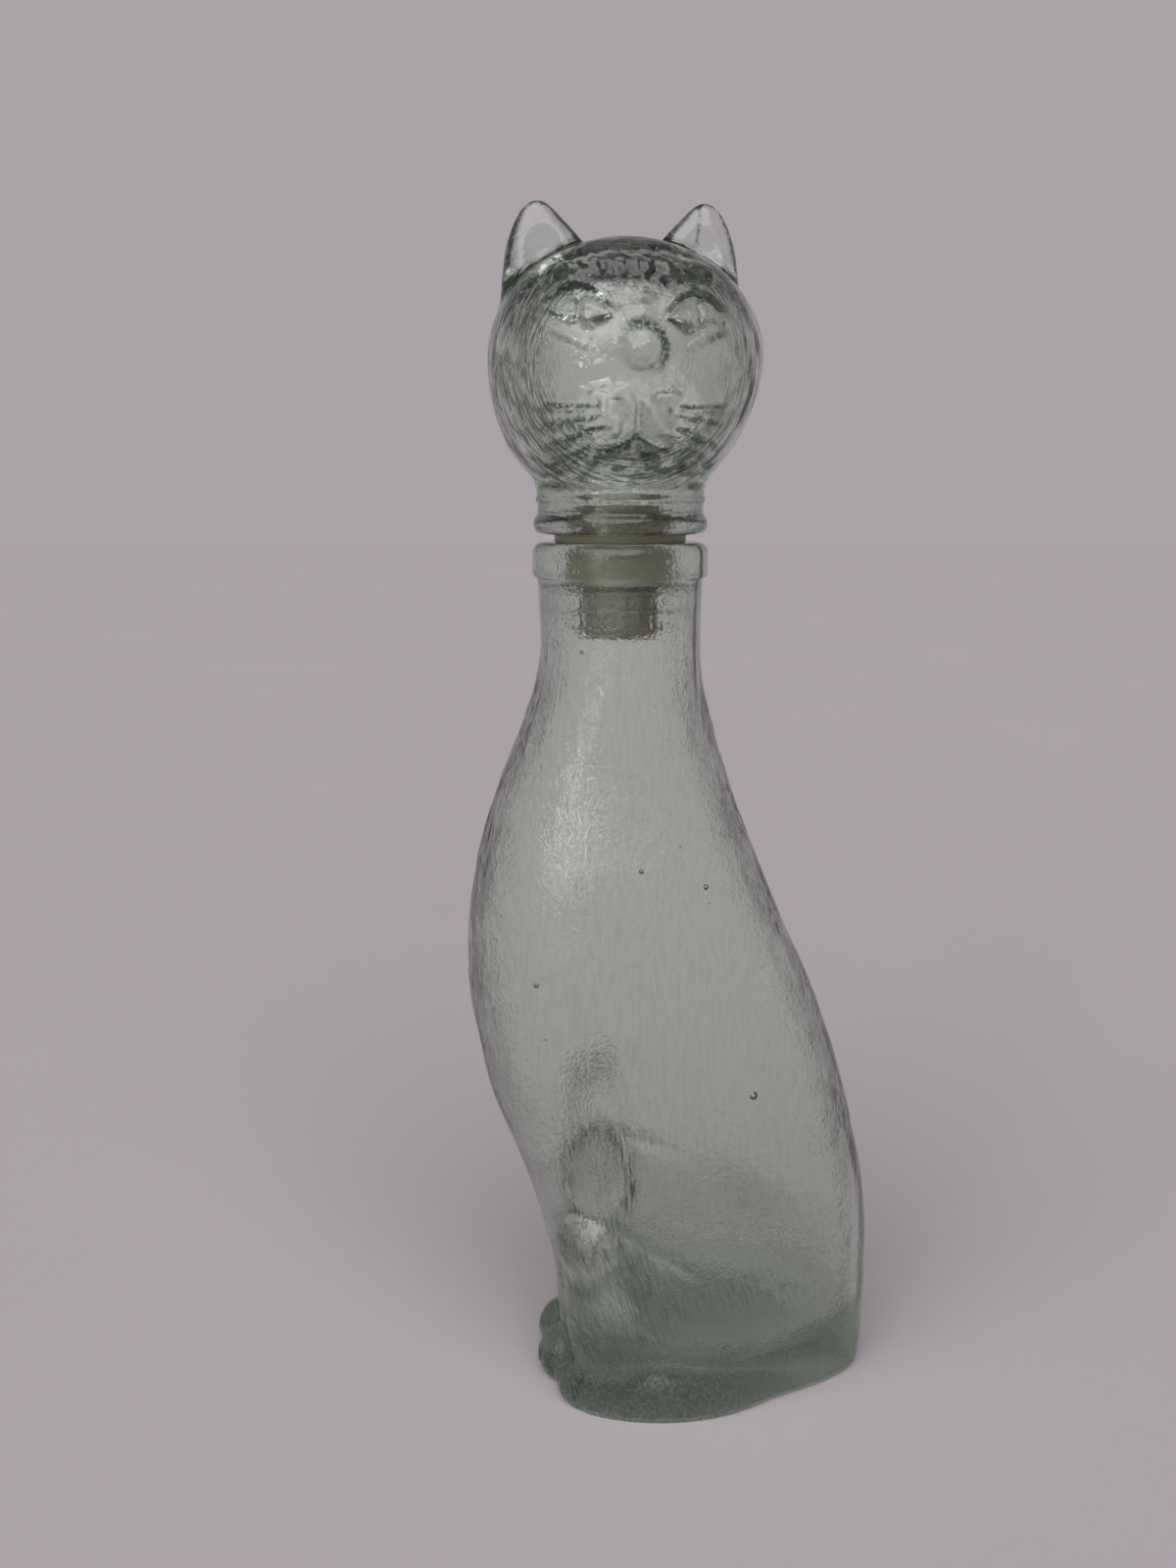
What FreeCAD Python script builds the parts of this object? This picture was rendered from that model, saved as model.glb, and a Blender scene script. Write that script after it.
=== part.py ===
import FreeCAD, Part
import os
import Sketcher
from FreeCAD import Placement, Rotation, Vector

# A sitting-cat bottle of thick blown glass, closed by a hollow glass cat's head on a finned plastic plug.
# +Z is up, the cat's chest faces -Y, and the origin is on the table, straight below the neck's axis.
# All lengths are millimetres.

doc = FreeCAD.newDocument("figural_decanter")
sheet = doc.addObject("Spreadsheet::Sheet", "sizes")

driving_sizes = {
    # Heights of the body's stations, each above the one below it
    "foot_round": 7,
    "heel_to_haunch": 33,
    "haunch_to_belly": 36,
    "belly_to_chest": 42,
    "chest_to_breast": 34,
    "breast_to_shoulder": 26,
    "shoulder_to_neck": 27,
    "neck_blend": 6,
    "neck_length": 23.5,
    "lip_height": 9,
    # Reach of each station ahead of and behind the neck's axis, and its half width
    "foot_inset": 4.5,
    "heel_front": 15.5,
    "heel_back": 70.6,
    "heel_half": 23.6,
    "haunch_front": 18.5,
    "haunch_back": 71,
    "haunch_half": 27,
    "belly_front": 31,
    "belly_back": 66.3,
    "belly_half": 28.5,
    "chest_front": 41.2,
    "chest_back": 53.1,
    "chest_half": 28.5,
    "breast_front": 39.2,
    "breast_back": 38.2,
    "breast_half": 26,
    "shoulder_front": 31,
    "shoulder_back": 28,
    "shoulder_half": 23.6,
    "lip_proud": 1.4,
    "lip_round": 2.8,
    "lip_under_round": 1.2,
    # Glass thickness and the mouth
    "wall": 5.5,
    "neck_wall": 4.8,
    "floor_thickness": 14,
    "floor_round": 8,
    "mouth_radius": 14.9,
    "mouth_depth": 10,
    "mouth_step": 1.5,
    "mouth_taper": 4.8,
    # Thigh, hind leg, hind foot, elbow: half sizes, how far they stand proud, and their set-back or drop
    "thigh_half_length": 30,
    "thigh_half_height": 24,
    "thigh_half_width": 13,
    "thigh_behind": 26,
    "thigh_proud": 1.2,
    "shin_half_length": 14.5,
    "shin_half_height": 29,
    "shin_half_width": 11,
    "shin_inset": 15,
    "shin_proud": 3.8,
    "foot_half_length": 25,
    "foot_half_height": 12,
    "foot_half_width": 11,
    "foot_behind": 8,
    "foot_proud": 7.4,
    "elbow_half_length": 12,
    "elbow_half_height": 18,
    "elbow_half_width": 10,
    "elbow_inset": 28,
    "elbow_drop": 7,
    "elbow_proud": 2,
    # Front legs and paws, set back from the front of the body
    "leg_half_length": 8.5,
    "leg_half_height": 46,
    "leg_half_width": 7.5,
    "leg_apart": 7.5,
    "leg_inset": 9.5,
    "paw_half_length": 9.5,
    "paw_half_height": 9.6,
    "paw_half_width": 6.4,
    "paw_apart": 6.2,
    "paw_inset": 2.6,
    # Plug
    "seal_clearance": 0.08,
    "flange_proud": 2,
    "flange_height": 2,
    "core_radius": 9.8,
    "core_length": 14,
    "fin_clearance": 0.7,
    "fin_thickness": 0.9,
    "fin_pitch": 4.6,
    "fin_count": 3,
    "spigot_radius": 10.4,
    "spigot_length": 8.5,
    "spigot_fin_pitch": 3.6,
    "spigot_fin_count": 2,
    "core_hole_radius": 5.5,
    "core_floor": 3,
    # Head, with the skull's middle above its seat on the plug and the features above or below that middle
    "head_bore_step": 0.7,
    "collar_lap": 1.1,
    "bead_proud": 0.9,
    "bead_height": 5.2,
    "bead_round": 2.6,
    "bead_upper_round": 0.8,
    "skull_height": 43,
    "skull_half_width": 34.6,
    "skull_half_depth": 33,
    "skull_upper": 28.4,
    "skull_lower": 38,
    "head_wall": 6.5,
    "ear_half_width": 9.8,
    "ear_half_depth": 5,
    "ear_half_height": 22.5,
    "ear_apart": 20.6,
    "ear_rise": 14.5,
    "muzzle_half_width": 15,
    "muzzle_half_depth": 9,
    "muzzle_half_height": 11,
    "muzzle_drop": 13,
    "muzzle_proud": 2.4,
    "nose_half_width": 5,
    "nose_half_depth": 5,
    "nose_half_height": 6.5,
    "nose_drop": 1,
    "nose_proud": 4,
    "eye_half_width": 7.6,
    "eye_half_depth": 4,
    "eye_half_height": 4.2,
    "eye_apart": 14.8,
    "eye_rise": 5.5,
    "eye_proud": 1.4,
    # How far the head is turned from the chest, in degrees
    "head_turn": 95,
}
for row, (alias, value) in enumerate(driving_sizes.items(), start=1):
    sheet.set(f"A{row}", alias)
    sheet.set(f"B{row}", str(value))
    sheet.setAlias(f"B{row}", alias)
doc.recompute()

# Heights above the table that several pieces share
height_steps = [
    ("heel_height", "foot_round"),
    ("haunch_height", "heel_to_haunch"),
    ("belly_height", "haunch_to_belly"),
    ("chest_height", "belly_to_chest"),
    ("breast_height", "chest_to_breast"),
    ("shoulder_height", "breast_to_shoulder"),
    ("neck_height", "shoulder_to_neck"),
    ("lip_bottom", "neck_length"),
    ("lip_top", "lip_height"),
]
derived_sizes = {}
below = None
for alias, step in height_steps:
    derived_sizes[alias] = f"={below} + {step}" if below else f"={step}"
    below = alias

# The neck's bore is wider than the mouth, and the head's collar carries the neck's outline on upwards
derived_sizes["neck_bore"] = "=mouth_radius + mouth_step"
derived_sizes["neck_radius"] = "=neck_bore + neck_wall"
derived_sizes["lip_radius"] = "=neck_radius + lip_proud"
derived_sizes["flange_radius"] = "=mouth_radius + flange_proud"
derived_sizes["head_bore"] = "=mouth_radius - head_bore_step"
derived_sizes["bead_radius"] = "=neck_radius + bead_proud"

# The collar ends where the underside of the skull has grown as wide as the collar, and laps into it
collar_share = "(neck_radius / skull_half_depth)"
derived_sizes["collar_height"] = (
    f"=skull_height - skull_lower * sqrt(1 - {collar_share} ^ 2) + collar_lap"
)
derived_sizes["ear_height"] = "=skull_height + ear_rise"
derived_sizes["eye_height"] = "=skull_height + eye_rise"
derived_sizes["nose_height"] = "=skull_height - nose_drop"
derived_sizes["muzzle_height"] = "=skull_height - muzzle_drop"

# How far the skull's surface lies ahead of the axis behind each feature of the face
for detail, aside, reach in (
    ("eye", "eye_apart", "skull_upper"),
    ("nose", "0", "skull_lower"),
    ("muzzle", "0", "skull_lower"),
):
    rise = f"({detail}_height - skull_height) / {reach}"
    sideways = f"{aside} / skull_half_width"
    derived_sizes[f"{detail}_surface"] = (
        f"=skull_half_depth * sqrt(1 - ({rise}) ^ 2 - ({sideways}) ^ 2)"
    )
for row, (alias, formula) in enumerate(derived_sizes.items(), start=len(driving_sizes) + 1):
    sheet.set(f"A{row}", alias)
    sheet.set(f"B{row}", formula)
    sheet.setAlias(f"B{row}", alias)
    doc.recompute()


def cell(text):
    # Puts the sheet's name before every size that an expression uses
    words = text.split(" ")
    return " ".join(f"sizes.{word}" if word[0].isalpha() else word for word in words)


def sheet_value(text):
    # The present value of an expression on the sheet
    return float(sheet.evalExpression(cell(text)))


def origin_plane(body, role):
    return next(plane for plane in body.Origin.OriginFeatures if plane.Role == role)


def new_body(name):
    body = doc.addObject("PartDesign::Body", name)
    body.Label = name
    return body


def attach(feature, body, role, x="0", y="0", z="0"):
    feature.AttachmentSupport = (origin_plane(body, role), [""])
    feature.MapMode = "FlatFace"
    for direction, text in (("x", x), ("y", y), ("z", z)):
        if text != "0":
            feature.setExpression(f"AttachmentOffset.Base.{direction}", cell(text))


def oval_section(body, name, height, front, back, half):
    # An ellipse across the body: front and back are reaches from the neck's axis
    sketch = body.newObject("Sketcher::SketchObject", name)
    attach(sketch, body, "XY_Plane", y=f"( {back} - ( {front} ) ) / 2", z=height)
    long_end = Vector(0, 40, 0)
    short_end = Vector(20, 0, 0)
    oval = sketch.addGeometry(Part.Ellipse(long_end, short_end, Vector(0, 0, 0)), False)
    sketch.exposeInternalGeometry(oval)
    sketch.addConstraint(Sketcher.Constraint("Coincident", oval, 3, -1, 1))
    sketch.addConstraint(Sketcher.Constraint("Vertical", oval + 1))
    for axis_line, label, text in (
        (oval + 1, "depth", f"{front} + {back}"),
        (oval + 2, "width", f"2 * ( {half} )"),
    ):
        start = sketch.Geometry[axis_line].length()
        index = sketch.addConstraint(Sketcher.Constraint("Distance", axis_line, start))
        sketch.renameConstraint(index, label)
        sketch.setExpression(f"Constraints.{label}", cell(text))
    return sketch


def round_section(body, name, height, radius):
    # A circle whose seam lies behind the axis, in line with the ovals' seams
    sketch = body.newObject("Sketcher::SketchObject", name)
    sketch.AttachmentOffset = Placement(Vector(0, 0, 0), Rotation(Vector(0, 0, 1), 90))
    attach(sketch, body, "XY_Plane", z=height)
    ring = sketch.addGeometry(Part.Circle(Vector(0, 0, 0), Vector(0, 0, 1), 20), False)
    sketch.addConstraint(Sketcher.Constraint("Coincident", ring, 3, -1, 1))
    index = sketch.addConstraint(Sketcher.Constraint("Radius", ring, 20))
    sketch.renameConstraint(index, "radius")
    sketch.setExpression("Constraints.radius", cell(radius))
    return sketch


def turned_profile(body, name, corners):
    # A closed outline of straight lines in the XZ plane: each corner is a radius and a height
    sketch = body.newObject("Sketcher::SketchObject", name)
    attach(sketch, body, "XZ_Plane")
    count = len(corners)
    points = [Vector(sheet_value(radius), sheet_value(height), 0) for radius, height in corners]
    for index in range(count):
        sketch.addGeometry(Part.LineSegment(points[index], points[(index + 1) % count]), False)
    for index in range(count):
        following = (index + 1) % count
        sketch.addConstraint(Sketcher.Constraint("Coincident", index, 2, following, 1))
    for index, (radius, height) in enumerate(corners):
        for kind, label, text in (("DistanceX", "radius", radius), ("DistanceY", "height", height)):
            value = sheet_value(text)
            if text == "0":
                axis = -2 if kind == "DistanceX" else -1
                sketch.addConstraint(Sketcher.Constraint("PointOnObject", index, 1, axis))
                continue
            constraint = sketch.addConstraint(Sketcher.Constraint(kind, -1, 1, index, 1, value))
            sketch.renameConstraint(constraint, f"{label}_{index}")
            sketch.setExpression(f"Constraints.{label}_{index}", cell(text))
    return sketch


def turn(body, kind, name, sketch):
    feature = body.newObject(f"PartDesign::{kind}", name)
    feature.Profile = sketch
    feature.ReferenceAxis = (sketch, ["V_Axis"])
    feature.Angle = 360
    return feature


def lobe(body, name, half_width, half_length, half_height, x, y, z, kind="Additive"):
    feature = body.newObject(f"PartDesign::{kind}Ellipsoid", name)
    attach(feature, body, "XY_Plane", x=x, y=y, z=z)
    feature.setExpression("Radius1", cell(half_height))
    feature.setExpression("Radius2", cell(half_width))
    feature.setExpression("Radius3", cell(half_length))
    return feature


def half_dome(body, name, half_width, half_depth, half_height, z, upper, kind="Additive"):
    feature = lobe(body, name, half_width, half_depth, half_height, "0", "0", z, kind)
    feature.Angle1 = 0 if upper else -90
    feature.Angle2 = 90 if upper else 0
    return feature


def mirrored(body, name, features):
    feature = body.newObject("PartDesign::Mirrored", name)
    feature.Originals = features
    feature.MirrorPlane = (origin_plane(body, "YZ_Plane"), [""])
    body.Tip = feature
    return feature


def loft(body, kind, name, sections):
    feature = body.newObject(f"PartDesign::{kind}Loft", name)
    feature.Profile = sections[0]
    feature.Sections = sections[1:]
    return feature


def round_edge(body, name, round_radius, edge_radius, edge_height):
    # Rounds the tip's circular edge of the given radius at the given height
    doc.recompute()
    base = body.Tip
    edges = []
    for number, edge in enumerate(base.Shape.Edges, start=1):
        if not isinstance(edge.Curve, Part.Circle):
            continue
        same_radius = abs(edge.Curve.Radius - sheet_value(edge_radius)) < 1e-4
        same_height = abs(edge.Curve.Center.z - sheet_value(edge_height)) < 1e-4
        if same_radius and same_height:
            edges.append(f"Edge{number}")
    feature = body.newObject("PartDesign::Fillet", name)
    feature.Base = (base, edges)
    feature.setExpression("Radius", cell(round_radius))
    return feature


# Bottle: the lofted body, the turned neck and lip, then the legs and paws
bottle = new_body("cat_bottle")
stations = ["heel", "haunch", "belly", "chest", "breast", "shoulder"]
outer_sections = [
    oval_section(
        bottle, "foot_outline", "0",
        "heel_front - foot_inset", "heel_back - foot_inset", "heel_half - foot_inset",
    )
]
for station in stations:
    outer_sections.append(
        oval_section(
            bottle, f"{station}_outline", f"{station}_height",
            f"{station}_front", f"{station}_back", f"{station}_half",
        )
    )
outer_sections.append(round_section(bottle, "neck_outline", "neck_height", "neck_radius"))
outer_sections.append(round_section(bottle, "neck_top_outline", "neck_height + neck_blend", "neck_radius"))
loft(bottle, "Additive", "body_outside", outer_sections)

neck_profile = turned_profile(
    bottle, "neck_profile",
    [
        ("0", "neck_height"),
        ("neck_radius", "neck_height"),
        ("neck_radius", "lip_bottom"),
        ("lip_radius", "lip_bottom"),
        ("lip_radius", "lip_top"),
        ("0", "lip_top"),
    ],
)
turn(bottle, "Revolution", "neck_and_lip", neck_profile)
round_edge(bottle, "lip_rounding", "lip_round", "lip_radius", "lip_top")
round_edge(bottle, "lip_under_rounding", "lip_under_round", "lip_radius", "lip_bottom")

thigh = lobe(
    bottle, "left_thigh", "thigh_half_width", "thigh_half_length", "thigh_half_height",
    "haunch_half + thigh_proud - thigh_half_width", "thigh_behind", "haunch_height",
)
shin = lobe(
    bottle, "left_shin", "shin_half_width", "shin_half_length", "shin_half_height",
    "haunch_half + shin_proud - shin_half_width", "shin_inset - haunch_front", "shin_half_height",
)
foot = lobe(
    bottle, "left_hind_foot", "foot_half_width", "foot_half_length", "foot_half_height",
    "heel_half + foot_proud - foot_half_width", "foot_behind", "heel_height",
)
elbow = lobe(
    bottle, "left_elbow", "elbow_half_width", "elbow_half_length", "elbow_half_height",
    "belly_half + elbow_proud - elbow_half_width", "elbow_inset - belly_front",
    "belly_height - elbow_drop",
)
leg = lobe(
    bottle, "left_front_leg", "leg_half_width", "leg_half_length", "leg_half_height",
    "leg_apart", "leg_inset - haunch_front", "haunch_height",
)
paw = lobe(
    bottle, "left_front_paw", "paw_half_width", "paw_half_length", "paw_half_height",
    "paw_apart", "paw_inset - heel_front", "heel_height",
)
doc.recompute()
for side_form in (thigh, shin, foot, elbow, leg, paw):
    mirrored(bottle, side_form.Name.replace("left", "right"), [side_form])

# The legs and feet are cut flat where the bottle stands
underside = bottle.newObject("PartDesign::SubtractiveBox", "flat_base")
attach(
    underside, bottle, "XY_Plane",
    x="0 - belly_back", y="0 - belly_back", z="0 - shin_half_height",
)
underside.setExpression("Length", cell("2 * belly_back"))
underside.setExpression("Width", cell("belly_back + heel_back + heel_back"))
underside.setExpression("Height", cell("shin_half_height"))

# The hollow follows the outside at the wall's thickness, with a rounded floor and a round neck
hollow_sections = [
    oval_section(
        bottle, "floor_hollow", "floor_thickness",
        "haunch_front - wall - floor_round", "haunch_back - wall - floor_round",
        "haunch_half - wall - floor_round",
    ),
    oval_section(
        bottle, "floor_edge_hollow", "floor_thickness + floor_round",
        "haunch_front - wall", "haunch_back - wall", "haunch_half - wall",
    ),
]
for station in stations[2:]:
    hollow_sections.append(
        oval_section(
            bottle, f"{station}_hollow", f"{station}_height",
            f"{station}_front - wall", f"{station}_back - wall", f"{station}_half - wall",
        )
    )
hollow_sections.append(round_section(bottle, "neck_hollow", "neck_height", "neck_bore"))
hollow_sections.append(
    round_section(bottle, "neck_top_hollow", "neck_height + neck_blend", "neck_bore")
)
loft(bottle, "Subtractive", "body_hollow", hollow_sections)

bore_profile = turned_profile(
    bottle, "bore_profile",
    [
        ("0", "neck_height"),
        ("neck_bore", "neck_height"),
        ("neck_bore", "lip_top - mouth_depth - mouth_taper"),
        ("mouth_radius", "lip_top - mouth_depth"),
        ("mouth_radius", "lip_top"),
        ("0", "lip_top"),
    ],
)
turn(bottle, "Groove", "neck_bore", bore_profile)

# Plug: heights are above its seat on the lip
plug = new_body("stopper_plug")
plug.setExpression("Placement.Base.z", cell("lip_top"))
plug_profile = turned_profile(
    plug, "plug_profile",
    [
        ("0", "0 - mouth_depth - core_length"),
        ("core_radius", "0 - mouth_depth - core_length"),
        ("core_radius", "0 - mouth_depth"),
        ("mouth_radius - seal_clearance", "0 - mouth_depth"),
        ("mouth_radius - seal_clearance", "0"),
        ("flange_radius", "0"),
        ("flange_radius", "flange_height"),
        ("spigot_radius", "flange_height"),
        ("spigot_radius", "flange_height + spigot_length"),
        ("core_hole_radius", "flange_height + spigot_length"),
        ("core_hole_radius", "core_floor - mouth_depth - core_length"),
        ("0", "core_floor - mouth_depth - core_length"),
    ],
)
turn(plug, "Revolution", "plug_body", plug_profile)


def fin_row(name, stem, radius, height, pitch, count):
    # Thin discs round a stem of the plug, the first with its underside at the given height
    ring = plug.newObject("Sketcher::SketchObject", f"{name}_ring")
    attach(ring, plug, "XY_Plane", z=height)
    for label, text in (("fin_edge", radius), ("fin_root", f"{stem} - fin_thickness")):
        start = sheet_value(text)
        circle = ring.addGeometry(Part.Circle(Vector(0, 0, 0), Vector(0, 0, 1), start), False)
        ring.addConstraint(Sketcher.Constraint("Coincident", circle, 3, -1, 1))
        index = ring.addConstraint(Sketcher.Constraint("Radius", circle, start))
        ring.renameConstraint(index, label)
        ring.setExpression(f"Constraints.{label}", cell(text))
    fin = plug.newObject("PartDesign::Pad", f"{name}_fin")
    fin.Profile = ring
    fin.setExpression("Length", cell("fin_thickness"))
    doc.recompute()
    row = plug.newObject("PartDesign::LinearPattern", f"{name}_fins")
    row.Originals = [fin]
    row.Direction = (origin_plane(plug, "XY_Plane"), [""])
    row.Mode = "Spacing"
    row.setExpression("Offset", cell(pitch))
    row.setExpression("Occurrences", cell(count))
    plug.Tip = row
    doc.recompute()


fin_row(
    "lower", "core_radius", "mouth_radius - fin_clearance",
    "fin_pitch / 2 - mouth_depth - core_length", "fin_pitch", "fin_count",
)
fin_row(
    "upper", "spigot_radius", "head_bore - seal_clearance",
    "flange_height + spigot_fin_pitch / 2", "spigot_fin_pitch", "spigot_fin_count",
)

# Head: heights are above its seat on the plug's flange, and the face looks along -Y before it is turned
head = new_body("head_stopper")
head.Placement = Placement(Vector(0, 0, 0), Rotation(Vector(0, 0, 1), 1))
head.setExpression("Placement.Base.z", cell("lip_top + flange_height"))
head.setExpression("Placement.Rotation.Angle", cell("head_turn"))
collar_profile = turned_profile(
    head, "collar_profile",
    [
        ("0", "0"),
        ("bead_radius", "0"),
        ("bead_radius", "bead_height"),
        ("neck_radius", "bead_height"),
        ("neck_radius", "collar_height"),
        ("0", "collar_height"),
    ],
)
turn(head, "Revolution", "collar_and_bead", collar_profile)
round_edge(head, "bead_rounding", "bead_round", "bead_radius", "0")
round_edge(head, "bead_upper_rounding", "bead_upper_round", "bead_radius", "bead_height")
half_dome(head, "skull_top", "skull_half_width", "skull_half_depth", "skull_upper", "skull_height", True)
half_dome(head, "skull_bottom", "skull_half_width", "skull_half_depth", "skull_lower", "skull_height", False)
ear = lobe(
    head, "left_ear", "ear_half_width", "ear_half_depth", "ear_half_height",
    "ear_apart", "0", "ear_height",
)
eye = lobe(
    head, "left_eye", "eye_half_width", "eye_half_depth", "eye_half_height",
    "eye_apart", "eye_half_depth - eye_proud - eye_surface", "eye_height",
)
lobe(
    head, "muzzle", "muzzle_half_width", "muzzle_half_depth", "muzzle_half_height",
    "0", "muzzle_half_depth - muzzle_proud - muzzle_surface", "muzzle_height",
)
lobe(
    head, "nose", "nose_half_width", "nose_half_depth", "nose_half_height",
    "0", "nose_half_depth - nose_proud - nose_surface", "nose_height",
)
doc.recompute()
mirrored(head, "right_ear_and_eye", [ear, eye])
for name, reach, upper in (("brain_top", "skull_upper", True), ("brain_bottom", "skull_lower", False)):
    half_dome(
        head, name, "skull_half_width - head_wall", "skull_half_depth - head_wall",
        f"{reach} - head_wall", "skull_height", upper, "Subtractive",
    )
head_bore_profile = turned_profile(
    head, "head_bore_profile",
    [
        ("0", "0 - skull_lower"),
        ("head_bore", "0 - skull_lower"),
        ("head_bore", "skull_height"),
        ("0", "skull_height"),
    ],
)
turn(head, "Groove", "head_bore_cut", head_bore_profile)

doc.recompute()
pieces = [bottle, plug, head]
for feature in doc.Objects:
    if "Invalid" in feature.State or "Error" in feature.State:
        raise RuntimeError(f"{feature.Name} did not rebuild: {feature.State}")
for piece in pieces:
    if piece.Shape.isNull() or not piece.Shape.isValid():
        raise RuntimeError(f"{piece.Label} has no valid shape")
    if len(piece.Shape.Solids) != 1:
        raise RuntimeError(f"{piece.Label} is not one solid")

os.makedirs("parts", exist_ok=True)
for piece in pieces:
    piece.Shape.exportStep(f"parts/{piece.Label}.step")
    print(piece.Label, round(piece.Shape.Volume), piece.Shape.BoundBox)
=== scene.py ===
import math

import bpy
import numpy as np
from mathutils import Matrix, Vector


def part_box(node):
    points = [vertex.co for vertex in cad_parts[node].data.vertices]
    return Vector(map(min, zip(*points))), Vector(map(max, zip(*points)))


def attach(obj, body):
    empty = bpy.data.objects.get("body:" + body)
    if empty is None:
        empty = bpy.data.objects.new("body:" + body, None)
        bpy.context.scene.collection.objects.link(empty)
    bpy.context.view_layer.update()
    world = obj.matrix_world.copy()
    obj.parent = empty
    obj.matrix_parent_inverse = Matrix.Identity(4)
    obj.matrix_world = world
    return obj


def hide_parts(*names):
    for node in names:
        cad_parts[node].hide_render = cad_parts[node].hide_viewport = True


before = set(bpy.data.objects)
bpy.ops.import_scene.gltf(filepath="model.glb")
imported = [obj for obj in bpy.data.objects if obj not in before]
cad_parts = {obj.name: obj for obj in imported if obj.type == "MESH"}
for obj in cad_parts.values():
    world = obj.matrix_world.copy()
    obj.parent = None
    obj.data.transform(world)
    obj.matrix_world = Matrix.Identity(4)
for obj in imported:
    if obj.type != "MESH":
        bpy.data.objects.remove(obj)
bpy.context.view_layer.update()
mm = 0.001
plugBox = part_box("stopper_plug")
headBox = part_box("head_stopper")
print("frame loaded:", ", ".join(sorted(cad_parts)))


# Maths that several pieces share, in millimetres

tiny = 1e-6
grainCells = 64


def ease(t):
    t = np.clip(t, 0, 1)
    return t * t * (3 - 2 * t)


def rise(value, start, width):
    # 0 up to start, then eased to 1 over the width
    return ease((value - start) / width)


def fall(value, end, width):
    # Eased from 1 to 0 over the width before end
    return ease((end - value) / width)


def between(value, start, riseWidth, end, fallWidth):
    return rise(value, start, riseWidth) * fall(value, end, fallWidth)


def bell(value, middle, width):
    return np.exp(-((value - middle) / width) ** 2)


def patch(a, b, middle, half):
    # A soft spot, 1 in its middle
    return np.exp(-((a - middle[0]) / half[0]) ** 2 - ((b - middle[1]) / half[1]) ** 2)


def roundMin(a, b, blend):
    # The lesser of two fields, with the crease between them filled over a width of blend
    near = np.maximum(blend - np.abs(a - b), 0) / blend
    return np.minimum(a, b) - near ** 3 * blend / 6


def roundMax(a, b, blend):
    return -roundMin(-a, -b, blend)


def flatOval(px, py, halfX, halfY):
    # About the distance to an ellipse, from places given as shares of its half sizes
    near = np.hypot(px, py)
    return near * (near - 1) / np.maximum(np.hypot(px / halfX, py / halfY), tiny)


def ovoid(x, y, z, at, half):
    # About the distance to an ellipsoid, negative inside it
    px, py, pz = (x - at[0]) / half[0], (y - at[1]) / half[1], (z - at[2]) / half[2]
    near = np.sqrt(px * px + py * py + pz * pz)
    slope = np.sqrt((px / half[0]) ** 2 + (py / half[1]) ** 2 + (pz / half[2]) ** 2)
    return near * (near - 1) / np.maximum(slope, tiny)


def drum(x, y, z, radius, low, high, rounding):
    # Distance to an upright cylinder with rounded rims
    side = np.hypot(x, y) - radius + rounding
    end = np.abs(z - (low + high) / 2) - (high - low) / 2 + rounding
    outside = np.hypot(np.maximum(side, 0), np.maximum(end, 0))
    return outside + np.minimum(np.maximum(side, end), 0) - rounding


def through(rows, heights):
    # A smooth curve through stations, each a height and its values
    table = np.array(rows, float)
    z, values = table[:, 0], table[:, 1:]
    slopes = np.gradient(values, z, axis=0)
    at = np.clip(np.searchsorted(z, heights) - 1, 0, len(z) - 2)
    span = (z[at + 1] - z[at])[..., None]
    t = np.clip((heights - z[at])[..., None] / span, 0, 1)
    start, end = values[at], values[at + 1]
    leave, arrive = slopes[at] * span, slopes[at + 1] * span
    return (
        start * (1 + 2 * t) * (1 - t) ** 2 + leave * t * (1 - t) ** 2
        + end * t * t * (3 - 2 * t) + arrive * t * t * (t - 1)
    )


def grain(row, across, along):
    # Smooth random relief from -1 to 1, the same at every run; a row is two steps and a seed
    stepAcross, stepAlong, seed = row
    u, v = across / stepAcross, along / stepAlong
    table = np.random.default_rng(seed).uniform(-1, 1, (grainCells, grainCells))
    i, j = np.floor(u).astype(int), np.floor(v).astype(int)
    s, t = ease(u - i), ease(v - j)
    i, j, iNext, jNext = (n % grainCells for n in (i, j, i + 1, j + 1))
    low = table[i, j] * (1 - s) + table[iNext, j] * s
    high = table[i, jNext] * (1 - s) + table[iNext, jNext] * s
    return low * (1 - t) + high * t


def circle(radius, angles, z):
    return np.stack([radius * np.cos(angles), radius * np.sin(angles), 0 * angles + z], 1)


def arc(centre, radius, fromAngle, toAngle, count):
    angles = np.radians(np.linspace(fromAngle, toAngle, count))
    return [(centre[0] + radius * math.cos(a), centre[1] + radius * math.sin(a)) for a in angles]


def meshObject(name, points, faces):
    # Points come in millimetres and the piece stands in the frame's metres
    mesh = bpy.data.meshes.new(name)
    mesh.from_pydata((np.asarray(points) * mm).tolist(), [], faces)
    mesh.polygons.foreach_set("use_smooth", np.ones(len(mesh.polygons), bool))
    mesh.update()
    made = bpy.data.objects.new(name, mesh)
    bpy.context.scene.collection.objects.link(made)
    return made


def setMarks(made, **marks):
    # Writes values for a piece's first vertices as attributes; the other vertices get none
    for name, values in marks.items():
        full = np.zeros(len(made.data.vertices))
        full[:len(values)] = np.clip(values, 0, 1)
        made.data.attributes.new(name, "FLOAT", "POINT").data.foreach_set("value", full)


def ringFaces(first, second):
    # Quads between two rings of vertex numbers, or triangles where the second has half as many
    after, following = np.roll(first, -1), np.roll(second, -1)
    if len(second) == len(first):
        return np.stack([first, after, following, second], 1).tolist()
    start, middle, end = first[0::2], first[1::2], np.roll(first, -2)[0::2]
    triangles = ((start, middle, second), (middle, following, second), (middle, end, following))
    return [face for corners in triangles for face in np.stack(corners, 1).tolist()]


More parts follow.
